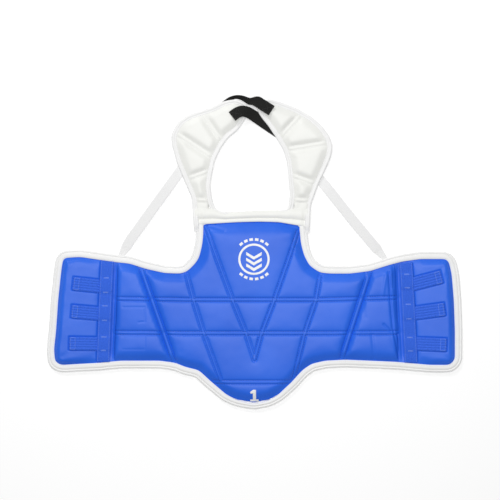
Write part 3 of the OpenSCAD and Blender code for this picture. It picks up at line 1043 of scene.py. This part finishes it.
# The binding's own ends: down over the armhole binding outside, and along the neckline inside.
flap_feet = {
    "left": ([(-118, 38), (-119, 54), (-120.5, 70)], [(-78, 84), (-71, 78.5), (-60, 75.5), (-44, 76)]),
    "right": ([(103.5, 36), (104.5, 54), (105.5, 72)], [(63.5, 86), (60, 81), (50, 80), (36, 79.6)]),
}
flap_tips = {"left": (-30, 291), "right": (16, 292)}
flap_shape = np.array([
    (0.1, 1.4), (0.0, 4.4), (0.7, 6.0), (2.1, 6.9), (3.6, 6.9), (5.2, 6.4), (6.2, 5.7), (6.8, 5.8),
    (7.8, 6.1), (9.0, 5.9), (9.8, 5.0), (9.4, 3.4), (7.0, 2.4), (2.0, 2.1),
]) * MM
flap_full = 11.4 * MM
flap_base = 6.0 * MM
flap_foot = 4.0 * MM
flap_bottom = 3.0 * MM
flap_stitch = (1.2, 0.32, 0.24)
for side in outward:
    edge = flap_outline(side)
    foot, neck = (np.array(points) * MM for points in flap_feet[side])
    edge = even_line(np.vstack([foot, edge, neck]), 2 * MM, softness=10)
    edge_pairs = segments_of(edge, closed=False)
    cover = top_loops(side + "_shoulder_back_cover")[0]
    cover[cover[:, 1] < 95 * MM, 1] = 72 * MM
    pad = cut_slab(side + "_shoulder_pad", cover, flap_foot, flap_full, 4 * MM)

    def flap_level(flat):
        rise = rises(distance_to(flat, edge_pairs), 9, 13)
        rise *= rises(distance_to(flat, flap_seam_pairs[side]), 3.4, 9)
        rise *= rises(flat[:, 1], 98, 7)
        return flap_base + (flap_full - flap_base) * (0.12 + 0.88 * rise)

    shape_pad(pad, (flap_foot, flap_full), flap_bottom, flap_level)
    places = coords(pad)
    flat = places[:, :2]
    held = distance_to(flat, flap_seam_pairs[side]) < 5 * MM
    held |= distance_to(flat, edge_pairs) < 13 * MM
    held |= (flat[:, 1] < 100 * MM) | (places[:, 2] < flap_bottom + 1.5 * MM)
    puff(pad, held, 2.0, 1.2 * MM)
    subdivide(pad)
    places = coords(pad)
    flat = places[:, :2]
    away = distance_to(flat, flap_seam_pairs[side])
    share = np.clip((places[:, 2] - flap_bottom) / (2 * MM), 0, 1)
    ridge = rises(distance_to(flat, edge_pairs), 9, 6) * dip(away, 1.3, 2.6)
    groove = dip(away - 4.2 * MM, 0.7, 1.2)
    uneven = 0.35 * MM * wavy(places, 30 * MM, 2.1) + 0.12 * MM * wavy(places, 9 * MM, 7.7)
    gathers = dip(flat[:, 1] - 88 * MM, 0.8, 12) * wavy(places, 8 * MM, 5.5)
    places[:, 2] += share * (ridge - groove + uneven + gathers)
    set_coords(pad, places)
    activate(pad)
    bpy.ops.object.shade_smooth()
    finish_piece(pad, white_vinyl, [side + "_shoulder_foam", side + "_shoulder_front_cover"])
    fold_over_shoulder(pad)

    inward = sideways(edge, -1)
    third = len(edge) // 3
    if (cover.mean(axis=0) - edge[third]) @ inward[third, :2] < 0:
        inward = -inward
    tip = int(np.linalg.norm(edge - np.array(flap_tips[side]) * MM, axis=1).argmin())
    climb = 3.2 * MM * (1 - rises(edge[:, 1], 66, 18))
    ripple = pucker(edge, 3.1)
    from_ends = np.minimum(np.linalg.norm(edge - edge[0], axis=1), np.linalg.norm(edge - edge[-1], axis=1))
    sunk = 3.0 * MM * (1 - rises(from_ends, 0, 14))
    for part, rows in (("outer", slice(0, tip + 1)), ("neck", slice(tip, len(edge)))):
        line, across = edge[rows], inward[rows]

        def flap_row(i, rise=climb[rows], swell=ripple[rows], sink=sunk[rows]):
            row = flap_shape.copy()
            row[:, 1] += rise[i]
            row[1:11, 1] += swell[i] - sink[i]
            row[0:4, 0] -= 0.6 * swell[i]
            return row

        strip = lay_tape(side + "_shoulder_" + part + "_binding", line, across, flap_row)
        finish_piece(strip, white_binding, [side + "_shoulder_" + part + "_binding"])
        stitched = [stitches_on(surface_of(strip), line + 8.4 * MM * across[:, :2], binding_step)]
        name = side + "_" + part + "_flap_thread"
        thread = sew(name, stitched, white_thread, flap_stitch)
        for piece in (strip, thread):
            fold_over_shoulder(piece)

    def clear_of_binding(middles, level):
        return distance_to(middles, edge_pairs) > 10 * MM

    tree = surface_of(pad)
    stitched = []
    for line in flap_seams[side]:
        for row in both_sides(even_line(np.array(line) * MM, 2 * MM), 4.2 * MM):
            stitched.append(stitches_on(tree, row, binding_step, keep=clear_of_binding))
    thread = sew(side + "_flap_seam_thread", stitched, white_thread, flap_stitch)
    fold_over_shoulder(thread)


# ---- Woven tapes ----
# Shoulder straps, lacing webbing and neck elastics are all flat woven tape with ribs along it.
# The weave is drawn along each tape's own length and girth, so that it follows every bend.
def woven(name, dark, light, ribs, picks, roughness, height):
    """Tape woven with ribs along it and picks across it, both given as threads per metre."""
    material, surface = new_material(name, roughness)
    surface["Specular IOR Level"].default_value = 0.25
    spread = material.node_tree.nodes.new("ShaderNodeUVMap")
    spread.uv_map = "UVMap"
    places = spread.outputs["UV"]
    along = wave_over(material, places, picks * math.pi / 10, 0.6)
    across = wave_over(material, places, ribs * math.pi / 10, 0.4, "Y")
    weave = combined(material, along, across, "MULTIPLY")
    worn = combined(material, weave, noise_over(material, places, 420, 6), "ADD")
    shade_by(material, worn, dark, light, (0.35, 0.88))
    raise_by(material, weave, height, 0.7)
    return material


def flat_tape(width, thickness, ribs, rib_height):
    """The closed section of a flat tape with round edges, its ribs on top and its underside at 0."""
    half = width / 2
    marks = np.linspace(-half, half, 2 * ribs + 1)
    top = thickness + rib_height * (np.arange(len(marks)) % 2 - 0.5)
    top[0] = top[-1] = thickness * 0.75
    under = [(half * 1.01, thickness * 0.4), (half * 0.98, 0.0), (0.0, 0.0), (-half * 0.98, 0.0),
             (-half * 1.01, thickness * 0.4)]
    return np.vstack([np.column_stack([marks, top]), under])


# ---- Shoulder straps ----
# White webbing straps run from behind each flap to the top edge of the wing, where they are sewn in.
# The lower end of each is folded narrow and tucked under the binding.
white_webbing = woven("white_webbing", (0.80, 0.80, 0.80), (0.96, 0.96, 0.96), 900, 700, 0.6, 0.15 * MM)
strap_section = flat_tape(19 * MM, 1.7 * MM, 8, 0.16 * MM)
strap_lines = {
    "left": [(-104, 226), (-147, 152), (-187, 97), (-241, 22), (-263, -15)],
    "right": [(82, 180), (126, 137), (192, 54), (252, -17)],
}
# How far down each strap the flap over it ends, in mm, and the height at which its end part begins.
clear_of_flap = {"left": 95, "right": 63}
strap_cut = 62 * MM
for side, other in (("left", "right"), ("right", "left")):
    line = even_line(np.array(strap_lines[side]) * MM, 3 * MM, softness=14)
    to_end = np.linalg.norm(line - line[-1], axis=1)
    from_top = np.linalg.norm(line - line[0], axis=1)
    narrow = 1 - 0.52 * smooth_step(1 - to_end / (34 * MM))
    folded = 1 + 1.1 * smooth_step(1 - to_end / (26 * MM))
    sway = 0.25 * MM * (1 + wavy(line, 60 * MM, 1.3 if side == "left" else 5.9))
    sway += 2.2 * MM * rises(from_top, clear_of_flap[side], 25) * rises(to_end, 0, 60)
    cut = int(np.abs(line[:, 1] - strap_cut).argmin())
    across = sideways(line)
    for part, rows in (("", slice(0, cut + 1)), ("_end", slice(cut, len(line)))):

        def strap_row(i, wide=narrow[rows], thick=folded[rows], lift=sway[rows]):
            row = strap_section * (wide[i], thick[i])
            row[:, 1] += lift[i] * (1.0 if thick[i] < 1.01 else 0.4)
            row[5:12, 1] -= (thick[i] - 1) * dip(row[5:12, 0] - 2 * MM, 0.9, 1.5)
            return row

        strap = lay_tape(side + "_strap" + part, line[rows], across[rows], strap_row)
        if part:
            finish_piece(strap, white_webbing, [side + "_strap_end"])
            bend_at(strap, side + "_wing", 4 * MM)
        else:
            finish_piece(strap, white_webbing, [side + "_strap", side + "_strap_top"])
            fold_over_shoulder(strap)


# ---- Neck elastics ----
# Each black elastic is sewn on top of one flap, drops off its tip and runs on behind the other flap.
# The two cross at the back of the neck and hold the flaps together.
black_elastic = woven("black_elastic", (0.003, 0.003, 0.003), (0.018, 0.018, 0.017), 560, 900, 0.75,
                      0.25 * MM)
elastic_section = flat_tape(21 * MM, 1.5 * MM, 11, 0.35 * MM)
# Each place holds the middle of the tape, the height of its underside and its heading in degrees.
elastic_places = {
    "left": [(-45, 259, 13.6, 38), (-35, 266.5, 14.2, 26), (-26, 269.5, 14.4, 6), (-16, 268, 10.4, -18),
             (-5, 262, 3.6, -31), (8, 253, 0.5, -33), (28, 239.3, 0, -33), (66, 214.5, 0, -34)],
    "right": [(31, 270, 13.0, 147), (16, 279.5, 13.2, 147), (1.5, 289, 13.0, 148), (-5, 289.5, 9.4, 158),
              (-12, 288, 3.6, 158), (-26, 296, 0.4, 160), (-39, 297.5, 0, 182), (-50, 293, 0, 200),
              (-62, 283, 0, 214), (-86, 256, 0, 226), (-104, 226, 0, 238)],
}
# Places along x in mm, and the share of its width that each tape shows there: the right one twists
# nearly edge on where it leaves the tips.
elastic_widths = {
    "left": ((0, 1), (1, 1)),
    "right": ((-62, -40, -26, -13, -3, 3), (0.5, 0.34, 0.44, 0.62, 0.86, 1)),
}
# The stitched box and cross at the sewn end of each tape, as steps along it and across it, in mm.
box_stitch = [(2, -8.5), (2, 8.5), (17, 8.5), (17, -8.5), (2, -8.5), (17, 8.5), (17, -8.5), (2, 8.5)]
black_thread = threads("black_thread", (0.05, 0.05, 0.05))
# A heading counts this many metres to the radian, so that it is eased together with the places.
heading_weight = 0.02
for side, places in elastic_places.items():
    points = np.array(places, float)
    points[:, :3] *= MM
    points[:, 3] = np.radians(points[:, 3]) * heading_weight
    line = even_line(points, 1.5 * MM, softness=12)
    heading = line[:, 3] / heading_weight
    across = np.stack([-np.sin(heading), np.cos(heading), np.zeros(len(line))], axis=1)
    wide = np.interp(line[:, 0] / MM, *elastic_widths[side])

    def elastic_row(i):
        return elastic_section * (wide[i], 1)

    elastic = lay_tape(side + "_neck_elastic", line[:, :3], across, elastic_row, 30)
    finish_piece(elastic, black_elastic, [side + "_neck_elastic"])
    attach(elastic, side + "_shoulder")
    ahead = np.array([np.cos(heading[0]), np.sin(heading[0])])
    corners = np.array([line[0, :2] + (a * ahead + b * across[0, :2]) * MM for a, b in box_stitch])
    tree = surface_of(elastic)
    rows = [stitches_on(tree, pair, 2.6 * MM) for pair in segments_of(corners, closed=False)]
    thread = sew(side + "_elastic_thread", rows, black_thread, (1.0, 0.3, 0.3))
    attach(thread, side + "_shoulder")


# ---- Lacing webbing ----
# On each end an upright strip of blue webbing is sewn down over three tabs and bar-tacked beside each.
# Every tab is folded under at its free end and stitched in a box. A lace would pass under it; none is made.
blue_webbing = woven("blue_webbing", (0.008, 0.060, 0.50), (0.050, 0.19, 0.95), 900, 520, 0.6, 0.2 * MM)
light_thread = threads("light_blue_thread", (0.24, 0.40, 1.0))
strip_section = flat_tape(2 * tape_half * MM, 2.2 * MM, 9, 0.45 * MM)
tab_section = flat_tape(2 * tape_half * MM, 2.2 * MM, 5, 0.8 * MM)
# The stitched box at a tab's free end, as steps back from its tip and across it, in mm.
tab_box = [(3.2, -11), (3.2, 11), (12, 11), (12, -11), (3.2, -11)]
# How far above and below a tab the bar tacks are, and half their length, in mm.
bar_off, bar_half = 13.5, 5
for side in outward:
    ground = surface_of(ends[side])

    def lying_on(line, across, lift):
        """The height for a tape to lie on the pad under it."""
        rows = [line + share * 12 * MM * across[:, :2] for share in (-0.8, -0.3, 0.3, 0.8)]
        level = np.stack([height_on(ground, row) for row in rows])
        return eased(np.nanmax(np.where(np.isnan(level), 5 * MM, level), axis=0) + lift, 6)

    stitched = []
    for name, (x, y, angle, reach) in tabs[side].items():
        ahead = tab_heading(side, angle)
        centre = np.array([x, y]) * MM
        line = even_line([centre - tab_root * MM * ahead, centre + reach * MM * ahead], 1.5 * MM)
        across = sideways(line)
        level = lying_on(line, across, -0.1 * MM)
        to_tip = np.linalg.norm(line - line[-1], axis=1)
        hem = 0.7 * MM * (1 - rises(to_tip, 13, 2)) - 0.9 * MM * (1 - rises(to_tip, 0, 2.5))

        def tab_row(i):
            row = tab_section.copy()
            row[:11, 1] += hem[i]
            return row

        tab = lay_tape(side + "_tab_" + name, np.column_stack([line, level]), across, tab_row, 30)
        finish_piece(tab, blue_webbing, [side + "_tab_" + name])
        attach(tab, side + "_end")
        box = np.array([line[-1] + (b * across[0, :2] - a * ahead) * MM for a, b in tab_box])
        tree = surface_of(tab)
        stitched += [stitches_on(tree, pair, 2.4 * MM) for pair in segments_of(box, closed=False)]
    line = even_line(np.array(strip_ends[side]) * MM, 2 * MM, softness=6)
    across = sideways(line)
    over_tab = np.zeros(len(line))
    for x, y, angle, reach in tabs[side].values():
        over_tab = np.maximum(over_tab, 1 - rises(np.abs(line[:, 1] - y * MM), 10, 8))
    level = lying_on(line, across, 0.3 * MM) + 1.5 * MM * over_tab
    edge_sway = 0.35 * MM * wavy(line, 13 * MM, 2.7)

    def strip_row(i):
        row = strip_section.copy()
        row[:, 0] += edge_sway[i]
        return row

    strip = lay_tape(side + "_lacing_strip", np.column_stack([line, level]), across, strip_row, 30)
    finish_piece(strip, blue_webbing, [side + "_lacing_strip"])
    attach(strip, side + "_end")
    tree = surface_of(strip)
    for x, y, angle, reach in tabs[side].values():
        for drop in (-bar_off, bar_off):
            middle = line[np.abs(line[:, 1] - (y + drop) * MM).argmin()]
            for shift in (-0.8, 0.0, 0.8):
                bar = np.array([middle + (-bar_half * MM, shift * MM), middle + (bar_half * MM, shift * MM)])
                stitched.append(stitches_on(tree, bar, 2 * MM))
    for row in both_sides(line, 10.4 * MM):
        stitched.append(stitches_on(tree, row, 3.4 * MM))
    thread = sew(side + "_lacing_thread", stitched, light_thread, (1.1, 0.4, 0.34))
    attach(thread, side + "_end")


# ---- White prints ----
# A plain ringed mark on the chest and the size numeral on the tongue, in thick white ink.
# Both are cut into small faces, so that they follow the curve of the vinyl under them.
white_ink, surface = grained("white_ink", (0.78, 0.80, 0.86), (0.93, 0.93, 0.93), 0.4,
                             0.9 * MM, 0.05 * MM, 120, 5, (0.25, 0.5))
ink_cell = 3 * MM
for node in ("chest_emblem", "size_numeral"):
    ink = node_copy(node, node + "_ink")
    box_low, box_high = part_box(node)
    bpy.ops.object.mode_set(mode="EDIT")
    for k in range(-20, 21):
        for normal in (Vector((1, 0, 0)), Vector((0, 1, 0))):
            at = (box_low + box_high) / 2 + k * ink_cell * normal
            if all(box_low[n] < at[n] < box_high[n] for n in (0, 1)):
                bpy.ops.mesh.select_all(action="SELECT")
                bpy.ops.mesh.bisect(plane_co=at, plane_no=normal)
    bpy.ops.object.mode_set(mode="OBJECT")
    places = coords(ink)
    level = height_on(pad_trees["torso"], places[:, :2])
    under = places[:, 2] < (box_low.z + box_high.z) / 2
    places[:, 2] = np.where(np.isnan(level), edge_level, level) + np.where(under, -0.2 * MM, 0.28 * MM)
    set_coords(ink, places)
    bpy.ops.object.shade_smooth_by_angle(angle=math.radians(40))
    finish_piece(ink, white_ink, [node])
    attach(ink, "torso")


# ---- Linings ----
# The back of the guard is plain woven cloth, one piece to each panel, caught down by the quilting seams.
# The flaps are lined in white. Each lining laps over the fold on its inner side.
def lining_cloth(name, tone):
    """Plain cloth woven of like threads both ways."""
    material, surface = new_material(name, 0.8)
    places = material.node_tree.nodes.new("ShaderNodeTexCoord").outputs["Object"]
    warp = wave_over(material, places, 320, 0.5)
    weft = wave_over(material, places, 320, 0.5, "Y")
    weave = combined(material, warp, weft, "ADD")
    shade_by(material, weave, [0.75 * c for c in tone], tone)
    raise_by(material, weave, 0.15 * MM, 1.0)
    return material


linings = {
    "back_lining": lining_cloth("back_lining", (0.035, 0.10, 0.45)),
    "flap_lining": lining_cloth("flap_lining", (0.84, 0.84, 0.82)),
}
fold_seams = np.concatenate([seam_pairs, [line[[0, -1]] for line in fold_lines.values()]])


def line_back(panel, outline, slot, floor=0.0, rows=fold_seams):
    """A panel's lining: a thin sheet over an outline, with rows of stitching drawn into it."""
    slab = 10 * MM
    thickness = 0.7 * MM
    piece = cut_slab(panel + "_lining", outline, 0, slab, 5 * MM)
    places = coords(piece)
    share = np.clip(places[:, 2] / slab, 0, 1)
    drawn = dip(distance_to(places[:, :2], rows) - seam_half, 0.45, 2.5)
    level = np.maximum(0.1 * MM, drawn + 0.25 * MM * (0.6 + 0.4 * wavy(places, 30 * MM, 6.6)))
    places[:, 2] = floor + level + share * thickness
    set_coords(piece, places)
    activate(piece)
    bpy.ops.object.shade_smooth()
    finish_piece(piece, linings[slot], [panel + "_back_cover"])
    after = np.roll(outline, -1, axis=0)
    return piece


def moved_to(outline, child, place):
    """An outline with its side along a fold moved to a given distance past that fold."""
    out = outline.copy()
    near = np.abs(beyond(out, child)) < 6 * MM
    out[near] += (place - beyond(out[near], child))[:, None] * fold_out[child]
    return out


outline = top_loops("chest_back_cover")[0]
for child in ("left_wing", "right_wing"):
    outline = moved_to(outline, child, -4 * MM)
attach(line_back("chest", outline, "back_lining"), "torso")
for side in outward:
    wing, end = side + "_wing", side + "_end"
    outline = moved_to(moved_to(top_loops(wing + "_back_cover")[0], wing, -4 * MM), end, -2 * MM)
    bend_at(line_back(wing, outline, "back_lining"), wing)
    outline = moved_to(top_loops(end + "_back_cover")[0], end, -2 * MM)
    bend_at(line_back(end, outline, "back_lining"), end)
    outline = top_loops(side + "_shoulder_back_cover")[0]
    outline[outline[:, 1] < 95 * MM, 1] = 74 * MM
    lining = line_back(side + "_shoulder", outline, "flap_lining", 2 * MM, flap_seam_pairs[side])
    fold_over_shoulder(lining)


# ---- Table ----
# A plain white table top just under the guard, glowing a little so that it stays white out to its edges.
# It is open where the guard covers it, so that a side folded down past it still shows from above.
cells = 250
table_level = -0.6 * MM
stretch = 8
bpy.ops.object.select_all(action="DESELECT")
bpy.ops.mesh.primitive_grid_add(x_subdivisions=cells, y_subdivisions=cells, size=1)
table = bpy.context.object
table.name = "table"
table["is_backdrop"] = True
places = coords(table)
places[:, 2] = table_level
set_coords(table, places)
above = bpy.context.evaluated_depsgraph_get()
covered = np.zeros((cells, cells), bool)
spots = np.array([p.center for p in table.data.polygons])
spot_index = ((spots[:, :2] + 0.5) * cells).astype(int)
for (col, row), spot in zip(spot_index, spots):
    hit = bpy.context.scene.ray_cast(above, (spot[0], spot[1], table_level / 2), (0, 0, 1), distance=0.05)[0]
    covered[col, row] = hit
inner = covered.copy()
for axis in (0, 1):
    for step in (-1, 1):
        inner &= np.roll(covered, step, axis=axis)
bpy.ops.object.mode_set(mode="EDIT")
bpy.ops.mesh.select_mode(type="FACE")
bpy.ops.mesh.select_all(action="DESELECT")
bpy.ops.object.mode_set(mode="OBJECT")
table.data.polygons.foreach_set("select", inner[spot_index[:, 0], spot_index[:, 1]])
bpy.ops.object.mode_set(mode="EDIT")
bpy.ops.mesh.delete(type="FACE")
bpy.ops.mesh.select_mode(type="VERT")
bpy.ops.object.mode_set(mode="OBJECT")
places = coords(table)
on_border = np.abs(places[:, :2]).max(axis=1) > 0.499
places[on_border, :2] *= stretch
set_coords(table, places)
table_white, surface = new_material("table_white", 0.9)
surface["Base Color"].default_value = (0.92, 0.92, 0.92, 1)
surface["Specular IOR Level"].default_value = 0
surface["Emission Color"].default_value = (1, 1, 1, 1)
surface["Emission Strength"].default_value = 0.2
table.data.materials.append(table_white)

low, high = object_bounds()
